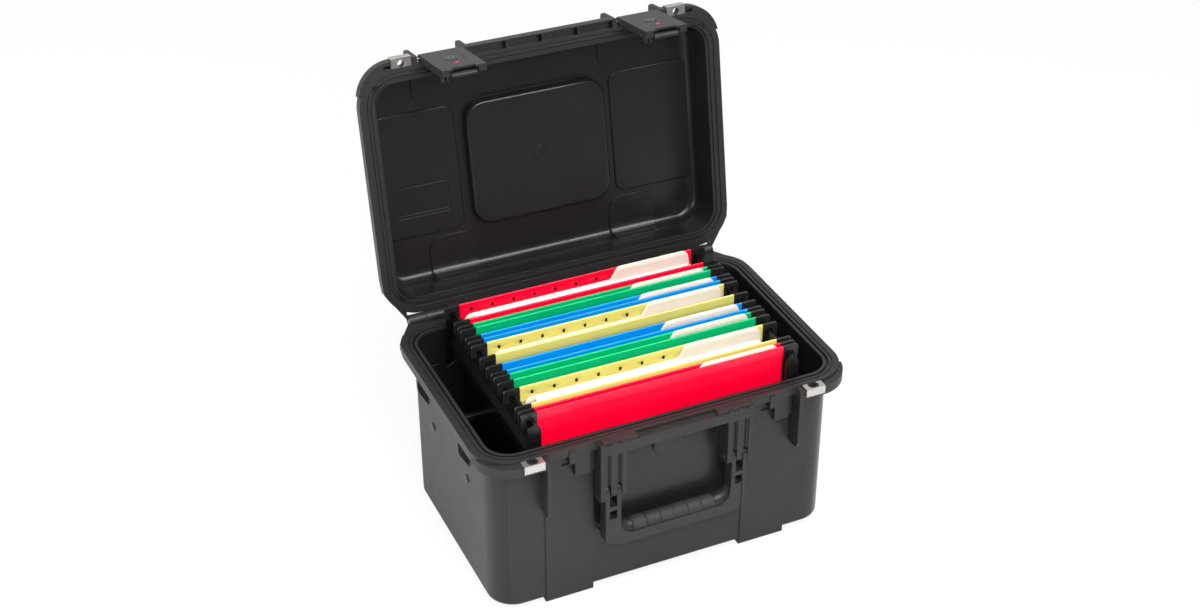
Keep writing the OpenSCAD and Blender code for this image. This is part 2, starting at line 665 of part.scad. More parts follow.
module latch_lock() {
  difference() {
    union() {
      translate([0, -plate_y + 8.5, lock_z]) rotate([90, 0, 0]) cylinder(h = 9.3, r = lock_radius);
      translate([0, -plate_y + 9.5, lock_z]) rotate([90, 0, 0]) cylinder(h = 1.5, r = 4);
    }
    box(-0.7, 0.7, -plate_y - 2, -plate_y + 3, lock_z - 3.5, lock_z + 3.5);
    translate([0, -plate_y - 0.2, lock_z]) rotate([90, 0, 0]) difference() {
      cylinder(h = 3, r = lock_radius - 1.2);
      translate([0, 0, -1]) cylinder(h = 5, r = lock_radius - 2.4);
    }
  }
}

module latch_button() {
  translate([0, -plate_y + 3.4, button_z]) rotate([90, 0, 0]) cylinder(h = 3.7, r = 2.3);
  translate([0, -plate_y + 3.9, button_z]) rotate([90, 0, 0]) cylinder(h = 1.2, r = 4);
}

module latch_pin() {
  translate([-latch_bay / 2 - fin_t + 0.3, -latch_y, latch_z]) rotate([0, 90, 0]) cylinder(h = latch_bay + 2 * fin_t - 0.6, r = latch_pin_radius);
}

module trigger_pin() {
  translate([-latch_width / 2 + 0.3, -trig_y, trig_z]) rotate([0, 90, 0]) cylinder(h = latch_width - 0.6, r = 1.2);
}

module at_left() {
  opened() translate([-latch_offset, 0, 0]) children();
}
module at_right() {
  opened() translate([latch_offset, 0, 0]) children();
}

module latch_body_left() color([0.3, 0.3, 0.31]) at_left() latch_body();
module latch_body_right() color([0.3, 0.3, 0.31]) at_right() latch_body();
module latch_trigger_left() color([0.24, 0.24, 0.25]) at_left() latch_trigger();
module latch_trigger_right() color([0.24, 0.24, 0.25]) at_right() latch_trigger();
module latch_lock_left() color([0.7, 0.7, 0.7]) at_left() latch_lock();
module latch_lock_right() color([0.7, 0.7, 0.7]) at_right() latch_lock();
module latch_button_left() color([0.8, 0.1, 0.1]) at_left() latch_button();
module latch_button_right() color([0.8, 0.1, 0.1]) at_right() latch_button();
module latch_pin_left() color([0.6, 0.6, 0.62]) at_left() latch_pin();
module latch_pin_right() color([0.6, 0.6, 0.62]) at_right() latch_pin();
module trigger_pin_left() color([0.6, 0.6, 0.62]) at_left() trigger_pin();
module trigger_pin_right() color([0.6, 0.6, 0.62]) at_right() trigger_pin();

/* ---- hanging files ---- */
// two leaves meeting in a flat fold at the bottom
module sleeve(k) {
  a = fold_a[k - 1];
  b = fold_b[k - 1];
  m = (a + b) / 2;
  t = folder_stock;
  w = min(3, (a - b) / 2 - 1);
  z0 = folder_low;
  z1 = folder_top - 8.6;
  translate([-folder_width / 2, 0, 0]) rotate([90, 0, 90]) linear_extrude(folder_width)
    polygon([
      [a, z1], [m + w, z0], [m - w, z0], [b, z1],
      [b + t, z1], [m - w + t, z0 + t], [m + w - t, z0 + t], [a - t, z1]
    ]);
  // hem around each rod
  for (y = [a - t / 2, b + t / 2])
    difference() {
      box(-folder_width / 2, folder_width / 2, y - 1.9, y + 1.9, z1 - 0.8, folder_top);
      box(-folder_width, folder_width, y - 0.9, y + 0.9, z1 + 0.6, folder_top - 1.2);
    }
}

module rod(y) {
  z = folder_top;
  // flat rod in the hem
  box(-folder_width / 2 - 2, folder_width / 2 + 2, y - 0.7, y + 0.7, z - 7.6, z - 1.6);
  // hook over the rail
  both() front_plate(y - hook_t / 2, y + hook_t / 2) {
    translate([folder_width / 2 + 0.3, rail_height + 0.3]) square([rail_x + 9 - folder_width / 2, z - 0.8 - rail_height - 0.3]);
    translate([rail_x + 9, z - 4.4]) circle(3.6);
    translate([rail_x + 6.6, rail_height - 9]) square([6, z - 4.4 - rail_height + 9]);
    translate([folder_width / 2 + 0.3, rail_height - 8]) square([rail_x - rail_thick / 2 - 1 - folder_width / 2 - 0.3, 10]);
  }
}

module rods(k) {
  rod(fold_a[k - 1] - folder_stock / 2);
  rod(fold_b[k - 1] + folder_stock / 2);
}

// manila file: two leaves, the back one with a cut tab at the right
module manila(k, front_leaf = true) {
  a = fold_a[k - 1];
  b = fold_b[k - 1];
  m = (a + b) / 2;
  s = (a - b) / 2;
  w = min(3, s - 1);
  h = folder_height - 16;
  hw = folder_width / 2 - 4;
  tilt = atan((s - w) / (folder_height - 5));
  translate([0, m + w - 3.2, folder_low + folder_stock + 0.3]) rotate([-tilt, 0, 0]) {
    front_plate(-0.6, 0) {
      translate([-hw, 0]) square([2 * hw, h + 2]);
      translate([hw - 88, h + 1]) square([88, 16.5]);
      translate([hw - 100, h + 1]) polygon([[0, 0], [13, 0], [13, 16.5], [12, 16.5]]);
    }
    if (front_leaf) {
      front_plate(-1.6, -1) translate([-hw, 0]) square([2 * hw, h - 16]);
      front_plate(-1.6, 0) translate([-hw, 0]) square([2 * hw, 0.6]);
    }
  }
}

module papers(k) {
  a = fold_a[k - 1];
  b = fold_b[k - 1];
  m = (a + b) / 2;
  s = (a - b) / 2;
  z0 = folder_low + folder_stock + 0.3;
  translate([-folder_width / 2 + 5, 0, 0]) rotate([90, 0, 90]) linear_extrude(folder_width - 16)
    polygon([
      [m - 1.9, z0], [m - 1, z0],
      [m - 1 + (s - 3) * 0.88, folder_top - 14], [m - 1.9 + (s - 3) * 0.45, folder_top - 14]
    ]);
}

module sleeve_1() color([0.9, 0.08, 0.2]) sleeve(1);
module sleeve_2() color([0.0, 0.6, 0.35]) sleeve(2);
module sleeve_3() color([0.05, 0.5, 0.85]) sleeve(3);
module sleeve_4() color([0.85, 0.8, 0.4]) sleeve(4);
module sleeve_5() color([0.05, 0.5, 0.85]) sleeve(5);
module sleeve_6() color([0.0, 0.6, 0.35]) sleeve(6);
module sleeve_7() color([0.85, 0.8, 0.4]) sleeve(7);
module sleeve_8() color([0.9, 0.08, 0.2]) sleeve(8);
module rods_1() color([0.15, 0.15, 0.15]) rods(1);
module rods_2() color([0.15, 0.15, 0.15]) rods(2);
module rods_3() color([0.15, 0.15, 0.15]) rods(3);
module rods_4() color([0.15, 0.15, 0.15]) rods(4);
module rods_5() color([0.15, 0.15, 0.15]) rods(5);
module rods_6() color([0.15, 0.15, 0.15]) rods(6);
module rods_7() color([0.15, 0.15, 0.15]) rods(7);
module rods_8() color([0.15, 0.15, 0.15]) rods(8);
module file_1() color([0.94, 0.9, 0.84]) manila(1, false);
module file_2() color([0.94, 0.9, 0.84]) manila(2);
module file_3() color([0.94, 0.9, 0.84]) manila(3);
module file_4() color([0.94, 0.9, 0.84]) manila(4, false);
module file_5() color([0.94, 0.9, 0.84]) manila(5);
module file_6() color([0.94, 0.9, 0.84]) manila(6);
module file_7() color([0.94, 0.9, 0.84]) manila(7, false);
module file_8() color([0.94, 0.9, 0.84]) manila(8);
module papers_1() color([0.97, 0.97, 0.97]) papers(1);
module papers_4() color([0.97, 0.97, 0.97]) papers(4);
module papers_7() color([0.97, 0.97, 0.97]) papers(7);

// ---- drawing ----
base_shell();
boss_plate();
base_eye_left();
base_eye_right();
hinge_pin_left();
hinge_pin_right();
handle_frame();
handle_grip();
handle_pins();
file_frame_left();
file_frame_right();
divider_left();
divider_right();
wall_screws();
lid_shell();
rim_seal();
lid_eye_left();
lid_eye_right();
latch_body_left();
latch_trigger_left();
latch_lock_left();
latch_button_left();
latch_pin_left();
trigger_pin_left();
latch_body_right();
latch_trigger_right();
latch_lock_right();
latch_button_right();
latch_pin_right();
trigger_pin_right();
sleeve_1();
sleeve_2();
sleeve_3();
sleeve_4();
sleeve_5();
sleeve_6();
sleeve_7();
sleeve_8();
rods_1();
rods_2();
rods_3();
rods_4();
rods_5();
rods_6();
rods_7();
rods_8();
file_1();
file_2();
file_3();
file_4();
file_5();
file_6();
file_7();
file_8();
papers_1();
papers_4();
papers_7();
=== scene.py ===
"""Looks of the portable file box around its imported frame. Metres, +Z up, front towards -Y."""

import json
import math
import random

import bpy
from mathutils import Matrix, Vector


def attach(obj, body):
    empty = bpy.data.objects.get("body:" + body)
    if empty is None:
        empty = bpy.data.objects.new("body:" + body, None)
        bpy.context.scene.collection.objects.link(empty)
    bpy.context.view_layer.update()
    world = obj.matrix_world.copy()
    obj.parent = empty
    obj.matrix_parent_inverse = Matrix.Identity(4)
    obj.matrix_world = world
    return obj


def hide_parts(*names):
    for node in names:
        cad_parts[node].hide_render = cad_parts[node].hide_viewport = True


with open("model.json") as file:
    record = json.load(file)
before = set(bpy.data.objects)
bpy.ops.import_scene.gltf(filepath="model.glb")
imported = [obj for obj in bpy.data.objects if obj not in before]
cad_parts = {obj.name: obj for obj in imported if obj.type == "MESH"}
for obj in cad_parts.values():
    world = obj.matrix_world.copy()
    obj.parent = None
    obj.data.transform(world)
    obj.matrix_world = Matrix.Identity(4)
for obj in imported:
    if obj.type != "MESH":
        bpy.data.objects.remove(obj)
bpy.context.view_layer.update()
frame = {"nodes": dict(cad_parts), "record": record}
scene = bpy.context.scene
scene.view_settings.view_transform = "Standard"


# ---------------------------------------------------------------- node trees
class Nodes:
    """A node tree that is built step by step."""

    def __init__(self, tree):
        self.tree = tree

    def add(self, kind, **props):
        node = self.tree.nodes.new(kind)
        for key, value in props.items():
            setattr(node, key, value)
        return node

    def feed(self, socket, value):
        """Joins an output to the socket, or writes a plain value into it."""
        if isinstance(value, bpy.types.NodeSocket):
            self.tree.links.new(value, socket)
        else:
            socket.default_value = value

    def math(self, operation, *values):
        node = self.add("ShaderNodeMath", operation=operation)
        for socket, value in zip(node.inputs, values):
            self.feed(socket, value)
        return node.outputs[0]

    def axes(self, vector):
        """X, Y and Z of a vector, by name."""
        node = self.add("ShaderNodeSeparateXYZ")
        self.feed(node.inputs[0], vector)
        return node.outputs

    def remap(self, value, lo, hi, start=0.3, end=0.7, curve="LINEAR"):
        """lo up to start and hi from end on, with a ramp or S-curve between."""
        node = self.add("ShaderNodeMapRange", interpolation_type=curve)
        for name, number in (("From Min", start), ("From Max", end), ("To Min", lo), ("To Max", hi)):
            node.inputs[name].default_value = number
        self.feed(node.inputs["Value"], value)
        return node.outputs["Result"]

    def mix(self, factor, a, b):
        node = self.add("ShaderNodeMix")
        for name, value in (("Factor", factor), ("A", a), ("B", b)):
            self.feed(node.inputs[name], value)
        return node.outputs["Result"]


# ---------------------------------------------------------------- materials
# inside of tub and lid, where the plastic is smoother and its colour is painted darker as shade
INSIDE_HALF_WIDTH = 0.2085
INSIDE_HALF_DEPTH = 0.1315
TUB_INSIDE_TOP = 0.2165
LID_INSIDE_HEIGHT = 0.0545
HINGE_Y = 0.159
HINGE_Z = 0.221
LID_OPEN = math.radians(100)
INSIDE_SHADE = 0.7  # share of the base colour that is left there, as painted shade


class Mat(Nodes):
    """A material on one Principled shader. Noise scales are per metre, heights in metres."""

    def __init__(self, name, base, rough, metal=0.0, spec=0.5):
        self.material = bpy.data.materials.new(name)
        self.material.use_nodes = True
        super().__init__(self.material.node_tree)
        self.shader = self.tree.nodes["Principled BSDF"].inputs
        self.shader["Base Color"].default_value = (*base, 1)
        self.shader["Roughness"].default_value = rough
        self.shader["Metallic"].default_value = metal
        self.shader["Specular IOR Level"].default_value = spec
        self.coords = self.add("ShaderNodeTexCoord").outputs["Object"]
        self.normal = None

    def noise(self, scale, detail=3.0, rough=0.55, stretch=None):
        coords = self.coords
        if stretch:
            mapping = self.add("ShaderNodeMapping")
            mapping.inputs["Scale"].default_value = stretch
            self.feed(mapping.inputs["Vector"], coords)
            coords = mapping.outputs["Vector"]
        node = self.add("ShaderNodeTexNoise")
        for name, value in (("Scale", scale), ("Detail", detail), ("Roughness", rough), ("Vector", coords)):
            self.feed(node.inputs[name], value)
        return node.outputs["Fac"]

    def tint(self, noise, dark, light, start=0.3, end=0.7):
        """Base colour that follows the noise from dark to light."""
        node = self.add("ShaderNodeValToRGB")
        for stop, place, colour in zip(node.color_ramp.elements, (start, end), (dark, light)):
            stop.position = place
            stop.color = (*colour, 1)
        self.feed(node.inputs["Fac"], noise)
        self.feed(self.shader["Base Color"], node.outputs["Color"])
        return node.outputs["Color"]

    def mottle(self, noise, base, low, high):
        """Base colour that wanders between low and high times the given one."""
        return self.tint(noise, *(tuple(min(1, c * share) for c in base) for share in (low, high)))

    def roughen(self, noise, lo, hi):
        roughness = self.remap(noise, lo, hi)
        self.feed(self.shader["Roughness"], roughness)
        return roughness

    def set_normal(self, normal):
        self.normal = normal
        self.feed(self.shader["Normal"], normal)

    def bump(self, noise, height, strength=1.0):
        node = self.add("ShaderNodeBump")
        node.inputs["Strength"].default_value = strength
        node.inputs["Distance"].default_value = height
        self.feed(node.inputs["Height"], noise)
        if self.normal:
            self.feed(node.inputs["Normal"], self.normal)
        self.set_normal(node.outputs["Normal"])

    def soften(self, radius):
        """Rounds the sharp edges in the shading."""
        node = self.add("ShaderNodeBevel", samples=6)
        node.inputs["Radius"].default_value = radius
        self.set_normal(node.outputs["Normal"])

    def in_box(self, coords, height):
        """1 within the inside's width and depth and the given height, 0 elsewhere."""
        axes = self.axes(coords)
        limits = {"X": INSIDE_HALF_WIDTH, "Y": INSIDE_HALF_DEPTH, "Z": height}
        x, y, z = (
            self.math("LESS_THAN", self.math("ABSOLUTE", axes[axis]), limit)
            for axis, limit in limits.items()
        )
        return self.math("MULTIPLY", self.math("MULTIPLY", x, y), z)

    def inside(self):
        """1 inside the tub and inside the lid, 0 elsewhere."""
        # the open lid is turned shut about its hinge, so that its inside is a plain box too
        to_hinge = self.add("ShaderNodeMapping")
        to_hinge.inputs["Location"].default_value = (0, -HINGE_Y, -HINGE_Z)
        self.feed(to_hinge.inputs["Vector"], self.coords)
        shut = self.add("ShaderNodeMapping")
        shut.inputs["Rotation"].default_value = (LID_OPEN, 0, 0)
        shut.inputs["Location"].default_value = (0, HINGE_Y, 0)
        self.feed(shut.inputs["Vector"], to_hinge.outputs["Vector"])
        in_tub = self.in_box(self.coords, TUB_INSIDE_TOP)
        in_lid = self.in_box(shut.outputs["Vector"], LID_INSIDE_HEIGHT)
        return self.math("MAXIMUM", in_tub, in_lid)


def plastic(name, base, rough, edge, grain=0.0, grain_scale=1500, polished=None):
    """Moulded plastic. polished is its roughness inside tub and lid, where its colour is also darkened as
    painted shade.
    """
    m = Mat(name, base, rough, spec=0.34)
    m.soften(edge)
    colour = m.mottle(m.noise(9, 2), base, 0.88, 1.12)
    roughness = m.roughen(m.noise(35, 4), rough * 0.95, rough * 1.05)
    if polished:
        inside = m.inside()
        # painted shade: the base colour is darkened inside tub and lid
        inside_shade = m.add("ShaderNodeVectorMath", operation="SCALE")
        m.feed(inside_shade.inputs[0], colour)
        m.feed(inside_shade.inputs["Scale"], m.remap(inside, 1, INSIDE_SHADE, 0, 1))
        m.feed(m.shader["Base Color"], inside_shade.outputs["Vector"])
        gloss = m.remap(inside, 1, polished / rough, 0, 1)
        m.feed(m.shader["Roughness"], m.math("MULTIPLY", roughness, gloss))
    if grain:
        m.bump(m.noise(grain_scale, 2), grain)
    m.bump(m.noise(14, 1), 0.0003, 0.2)
    return m.material


def brushed_steel(name, base, rough):
    m = Mat(name, base, rough, 1.0)
    m.soften(0.0005)
    brushed = m.noise(260, 4, 0.6, (14, 1, 1))
    m.tint(brushed, (0.5, 0.485, 0.465), (0.66, 0.64, 0.615))
    m.roughen(brushed, 0.26, 0.42)
    m.bump(brushed, 0.00003)
    return m.material


def pin_steel(name, base, rough):
    m = Mat(name, base, rough, 1.0)
    noise = m.noise(120, 3)
    m.mottle(noise, base, 0.85, 1.1)
    m.roughen(noise, rough * 0.8, rough * 1.2)
    return m.material


def painted(name, base, rough):
    m = Mat(name, base, rough)
    m.soften(0.0003)
    noise = m.noise(90, 3)
    m.mottle(noise, base, 0.8, 1.2)
    m.roughen(noise, rough * 0.85, rough * 1.15)
    return m.material


def card(name, base, rough):
    """Coloured pressboard or paper: fine fibre, slight mottling and a shallow unevenness."""
    m = Mat(name, base, rough, spec=0.35)
    m.mottle(m.noise(28, 3), base, 0.95, 1.04)
    m.roughen(m.noise(160, 3), rough * 0.9, rough * 1.1)
    m.bump(m.noise(900, 3, 0.6, (1, 1, 0.4)), 0.00003)
    m.bump(m.noise(7, 2), 0.0006, 0.25)
    return m.material


# slot: kind, base colour, roughness, and for plastic the edge radius, the height and scale of its grain,
# and its roughness inside tub and lid, where the colour is also painted darker as shade
LOOKS = {
    "case_shell": (plastic, (0.017, 0.0167, 0.0166), 0.42, 0.0008, 0.00006, 1500, 0.24),
    "moulded_trim": (plastic, (0.018, 0.0176, 0.0176), 0.38, 0.0006, 0.00002, 1800),
    "inner_plastic": (plastic, (0.006, 0.006, 0.006), 0.22, 0.0006),
    "soft_grip": (plastic, (0.026, 0.0255, 0.026), 0.62, 0.0012, 0.00004, 1300),
    "seal": (plastic, (0.014, 0.014, 0.014), 0.7, 0.0003, 0.00002),
    "lock_barrel": (plastic, (0.06, 0.06, 0.062), 0.33, 0.0003),
    "red_button": (plastic, (0.62, 0.015, 0.02), 0.28, 0.0004),
    "steel_eye": (brushed_steel, (0.6, 0.58, 0.56), 0.34),
    "steel_pin": (pin_steel, (0.5, 0.5, 0.51), 0.3),
    "screw": (painted, (0.05, 0.05, 0.052), 0.35),
    "hanger_rod": (painted, (0.012, 0.012, 0.0125), 0.3),
    "folder_red": (card, (0.98, 0.0, 0.03), 0.34),
    "folder_green": (card, (0.0, 0.41, 0.14), 0.4),
    "folder_blue": (card, (0.0, 0.245, 0.66), 0.4),
    "folder_yellow": (card, (0.66, 0.585, 0.15), 0.42),
    "manila_card": (card, (0.66, 0.59, 0.51), 0.55),
    "white_paper": (card, (0.72, 0.71, 0.695), 0.65),
}
MATERIALS = {slot: make(slot, *look) for slot, (make, *look) in LOOKS.items()}

slot_of = {part["node"]: part["material_slot"] for part in frame["record"]["subparts"]}
for name, node in frame["nodes"].items():
    node.data.materials.clear()
    node.data.materials.append(MATERIALS[slot_of[name]])

# ---------------------------------------------------------------- camera, solved from the photograph
PHOTO_WIDTH = 1200  # pixels
FOCAL_LENGTH = 1920.8  # pixels
CENTRE_SHIFT = (-19.0, 28.2)  # pixels
SENSOR_WIDTH = 36
CAMERA_PLACE = (-0.7794, -1.6706, 1.4686)
CAMERA_DIRECTION = (0.3522, 0.7549, -0.5532)
CAMERA_ROLL = math.radians(0.28)


def looking(place, direction):
    """Matrix of a camera or lamp that stands at place and looks along direction."""
    turn = Vector(direction).to_track_quat("-Z", "Y").to_matrix().to_4x4()
    return Matrix.Translation(place) @ turn


def add_object(name, data):
    obj = bpy.data.objects.new(name, data)
    scene.collection.objects.link(obj)
    return obj


lens = bpy.data.cameras.new("camera")
lens.sensor_width = SENSOR_WIDTH
lens.lens = FOCAL_LENGTH / PHOTO_WIDTH * SENSOR_WIDTH
lens.shift_x, lens.shift_y = (pixels / PHOTO_WIDTH for pixels in CENTRE_SHIFT)
lens.clip_end = 60
camera = add_object("camera", lens)
camera.matrix_world = looking(CAMERA_PLACE, CAMERA_DIRECTION) @ Matrix.Rotation(CAMERA_ROLL, 4, "Z")
scene.camera = camera

# ---------------------------------------------------------------- lights
# name, place, point it is aimed at, size, watts, kinds of ray that don't see it
LIGHTS = (
    ("key", (0.45, -0.75, 2.3), (0, 0.05, 0.2), (2.4, 1.1), 27, ()),
    ("left", (-2.6, 0.3, 1.3), (0, 0, 0.2), (1.4, 1.2), 50, ()),
    # two lights for the coloured card, which the black mouldings don't mirror
    ("front", (-0.25, -2.2, 2.1), (0, 0, 0.2), (1.6, 1.0), 42, ("glossy",)),
    ("near", (-0.15, -0.8, 0.95), (0, -0.1, 0.24), (0.6, 0.3), 7, ("glossy", "camera")),
    # long overhead strip that gives only the sheen on edges and fillets
    ("sheen", (0.3, -1.0, 1.9), (0, 0.12, 0.25), (2.4, 0.4), 38, ("diffuse",)),
)

for name, place, aim, size, watts, blind_rays in LIGHTS:
    lamp = bpy.data.lights.new(name, "AREA")
    lamp.shape = "RECTANGLE"
    lamp.size, lamp.size_y = size
    lamp.energy = watts
    light = add_object(name, lamp)
    light.matrix_world = looking(place, Vector(aim) - Vector(place))
    for ray in blind_rays:
        setattr(light, "visible_" + ray, False)

# ---------------------------------------------------------------- world
WORLD_COLOUR = (0.97, 0.975, 0.98, 1)
# the room is dim behind the camera, because the inside of the lid mirrors it
ROOM_BEHIND, ROOM_AHEAD = 0.12, 0.75
ROOM_FADE = (-0.75, 0.1)  # y of the direction of view

world = bpy.data.worlds.new("studio")
scene.world = world
world.use_nodes = True
sky = Nodes(world.node_tree)
background = sky.tree.nodes["Background"].inputs
background["Color"].default_value = WORLD_COLOUR
towards = sky.axes(sky.add("ShaderNodeTexCoord").outputs["Generated"])
room = sky.remap(towards["Y"], ROOM_BEHIND, ROOM_AHEAD, *ROOM_FADE, curve="SMOOTHSTEP")
seen_by_camera = sky.add("ShaderNodeLightPath").outputs["Is Camera Ray"]
sky.feed(background["Strength"], sky.mix(seen_by_camera, room, 1.0))


# ---------------------------------------------------------------- meshes and floor
def new_mesh(name, verts, faces, material, rounded=False):
    mesh = bpy.data.meshes.new(name)
    mesh.from_pydata(verts, [], faces)
    mesh.update()
    if rounded:
        mesh.polygons.foreach_set("use_smooth", [True] * len(mesh.polygons))
    obj = add_object(name, mesh)
    mesh.materials.append(material)
    return obj


FLOOR_HALF = 9
FLOOR_GREY = 0.93
# in mirror rays the floor is dimmer, most of all further in front of the case
FLOOR_FAR, FLOOR_NEAR = 0.25, 0.7
FLOOR_FADE = (-1.5, -0.6)  # y
FLOOR_GLOW = 0.84  # share of plain white in what the camera sees


def floor_material():
    m = Mat("floor", (FLOOR_GREY,) * 3, 0.7, spec=0.2)
    rays = m.add("ShaderNodeLightPath").outputs
    mirrored = m.remap(m.axes(m.coords)["Y"], FLOOR_FAR, FLOOR_NEAR, *FLOOR_FADE, curve="SMOOTHSTEP")
    grey = m.mix(rays["Is Glossy Ray"], FLOOR_GREY, mirrored)
    colour = m.add("ShaderNodeCombineColor")
    for channel in range(3):
        m.feed(colour.inputs[channel], grey)
    m.feed(m.shader["Base Color"], colour.outputs[0])
    white = m.add("ShaderNodeEmission")
    white.inputs["Strength"].default_value = 1.0
    blend = m.add("ShaderNodeMixShader")
    m.feed(blend.inputs["Fac"], m.math("MULTIPLY", rays["Is Camera Ray"], FLOOR_GLOW))
    m.feed(blend.inputs[1], m.tree.nodes["Principled BSDF"].outputs[0])
    m.feed(blend.inputs[2], white.outputs[0])
    m.feed(m.tree.nodes["Material Output"].inputs["Surface"], blend.outputs[0])
    return m.material


corners = [(-FLOOR_HALF, -FLOOR_HALF, 0), (FLOOR_HALF, -FLOOR_HALF, 0)]
corners += [(FLOOR_HALF, FLOOR_HALF, 0), (-FLOOR_HALF, FLOOR_HALF, 0)]
floor = new_mesh("floor", corners, [(0, 1, 2, 3)], floor_material())

# ---------------------------------------------------------------- folders and their contents, millimetres
MM = 0.001

# folders from the back to the front: colour, and y of the back and the front leaf at the rods
COLOURS = ("red", "green", "blue", "yellow", "blue", "green", "yellow", "red")
BACK_Y = (118, 74, 49.5, 31, -15, -37, -66, -108)
FRONT_Y = (84, 65, 39.5, 4, -30, -50, -100, -116)
WITH_PAPERS = (1, 4, 7)  # these have tab slots too

FOLDER_LOW = 20.0
FOLDER_TOP = 256.0
FOLDER_HALF = 151.0  # half the width
FOLD_HALF = 3  # half the width of the bottom fold of an open folder
BOARD = 0.62  # thickness

SKIN = 0.4  # from the outline of the solids in to the middle of the board
FOLD_RADIUS = 1.2
LEAN_TOP = FOLDER_TOP - 8.6  # the leaf stands upright above this
TURN_RADIUS = 1.05  # round the rod
TURN_Z = 254.45
LEAF_HEIGHTS = (22, 60, 100, 140, 180, 205, 220, 228, 233)
FLAP_HEIGHTS = (237, 240, 242.5, 244, 245.4, 247, 248.9, 251, 253, 254.4)
FLAP_END = 235
# heights where the board and its flap begin to swell out for the turn, and over how much height
SWELL_LOW, SWELL_HEIGHT = 236, 12
FLAP_SWELL_LOW, FLAP_SWELL_HEIGHT = 240, 8

COLUMN_STEP = 12.5
COLUMNS_EACH_SIDE = 12
CONTENT_TOP = FOLDER_TOP - 14
# slow waves of the board: height, and width and height over which the angle grows by one radian
LONG_WAVE, LONG_STEP = 0.22, 37
SHORT_WAVE, SHORT_STEP, SLANT_STEP = 0.16, 19, 41
WAVE_SHIFT = 1.7  # from folder to folder, in radians

SLOT_COUNT = 11
SLOT_FIRST = -136.8
SLOT_PITCH = 26.8
SLOT_HALF = 1.7
SLOT_CLEAR = 2.8  # no other column of points this close to a slot's middle
SLOT_LOW, SLOT_HIGH = 244, 248.9
SLOTS = [SLOT_FIRST + SLOT_PITCH * i for i in range(SLOT_COUNT)]

# dark strip in the back leaf's top fold: the rod, and below it painted shade of the fold's inside behind the
# tab slots
STRIP_HALF = FOLDER_HALF - 1
STRIP_LOW, STRIP_HIGH = 242.5, 253.4
STRIP = 0.6  # thickness

CONTENT_LOW = FOLDER_LOW + 1.1
MANILA = 0.42  # thickness
MANILA_HALF = FOLDER_HALF - 4
MANILA_GAP = 3.2  # from the back leaf's foot
MANILA_BODY, MANILA_TAB, MANILA_FRONT = 222, 237.4, 206  # heights
MANILA_FOOT = 0.4
BACK_OFFSET, FRONT_OFFSET = -0.3, -1.3
TAB_START = 39
SHOULDER = 14
LEFT_CORNER = 9
RIGHT_CORNER, CORNER_DROP, CORNER_POWER = 10, 2, 2.6
MANILA_BOW, BOW_STEP = 0.75, 45
MANILA_ROWS = (0, 0.4, 0.7, 0.85, 0.93, 0.97, 1)  # shares of the height

PAPER = 0.16  # thickness
SHEETS = 9
SHEET_WIDTH = 279.4
SHEET_LEFT = -135.5
SHEET_COLUMNS, SHEET_ROWS = 14, 10
SHEET_SEED = 40
SHORTER = 3  # each third sheet is this much shorter
# the pile from its back sheet to its front one: y below and above, and how it leans and fans out
PILE_LOW, PILE_LOW_DEPTH = 1.05, 0.8
PILE_HIGH, PILE_HIGH_DEPTH = 1.1, 0.7
PILE_CLEAR = 3
LEAN, FAN = 0.87, 0.4
HEIGHT_SPREAD, SHIFT_SPREAD, BELLY = 4, 3, 0.3
RIPPLE, RIPPLE_STEP = 0.15, 31


def ease(t):
    """S-curve from 0 to 1."""
    t = min(1, max(0, t))
    return t * t * (3 - 2 * t)


def spread(k):
    """Middle of folder k, half its opening at the top, and half the width of its bottom fold."""
    back, front = BACK_Y[k - 1], FRONT_Y[k - 1]
    opening = (back - front) / 2
    return (back + front) / 2, opening, min(FOLD_HALF, opening - 1)


def grid_faces(rows, columns, is_open=lambda row, column: False):
    """Quads between points that are listed row by row, without the open ones."""
    faces = []
    for row in range(rows - 1):
        for column in range(columns - 1):
            if not is_open(row, column):
                a = row * columns + column
                b = a + columns
                faces.append((a, a + 1, b + 1, b))
    return faces


def build(name, k, stands_for, slot, thickness, verts, faces):
    """Thin piece of folder k from its middle surface in millimetres."""
    metres = [(x * MM, y * MM, z * MM) for x, y, z in verts]
    piece = new_mesh(name, metres, faces, MATERIALS[slot], rounded=True)
    stock = piece.modifiers.new("stock", "SOLIDIFY")
    stock.thickness = thickness * MM
    stock.offset = 0
    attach(piece, f"folder_{k}")
    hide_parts(f"{stands_for}_{k}")


def leaf_profile(k, back):
    """Middle line of one leaf as (y, z): its outer side from the bottom, the turn over the rod, the flap."""
    middle, _, fold_half = spread(k)
    side = 1 if back else -1
    edge = (BACK_Y if back else FRONT_Y)[k - 1] - side * SKIN
    foot = middle + side * (fold_half - SKIN)
    low = FOLDER_LOW + SKIN
    lean_height = LEAN_TOP - low - FOLD_RADIUS

    def leaning(z):
        return foot + (edge - foot) * min(1, (z - low - FOLD_RADIUS) / lean_height)

    outer = [(middle, low), (middle + side * max(0.2, fold_half - FOLD_RADIUS - SKIN), low)]
    for degrees in (30, 60):
        t = math.radians(degrees)
        y = foot - side * FOLD_RADIUS + side * FOLD_RADIUS * math.sin(t)
        outer.append((y, low + FOLD_RADIUS - FOLD_RADIUS * math.cos(t)))
    for z in LEAF_HEIGHTS + FLAP_HEIGHTS:
        outer.append((leaning(z) + side * TURN_RADIUS * ease((z - SWELL_LOW) / SWELL_HEIGHT), z))
    turn = []
    for degrees in range(15, 180, 15):
        t = math.radians(degrees)
        turn.append((edge + side * TURN_RADIUS * math.cos(t), TURN_Z + TURN_RADIUS * math.sin(t)))
    flap = []
    for z in FLAP_HEIGHTS[::-1] + (FLAP_END,):
        swell = (TURN_RADIUS - BOARD) * ease((z - FLAP_SWELL_LOW) / FLAP_SWELL_HEIGHT)
        flap.append((leaning(z) - side * (BOARD + swell), z))
    return outer, turn, flap


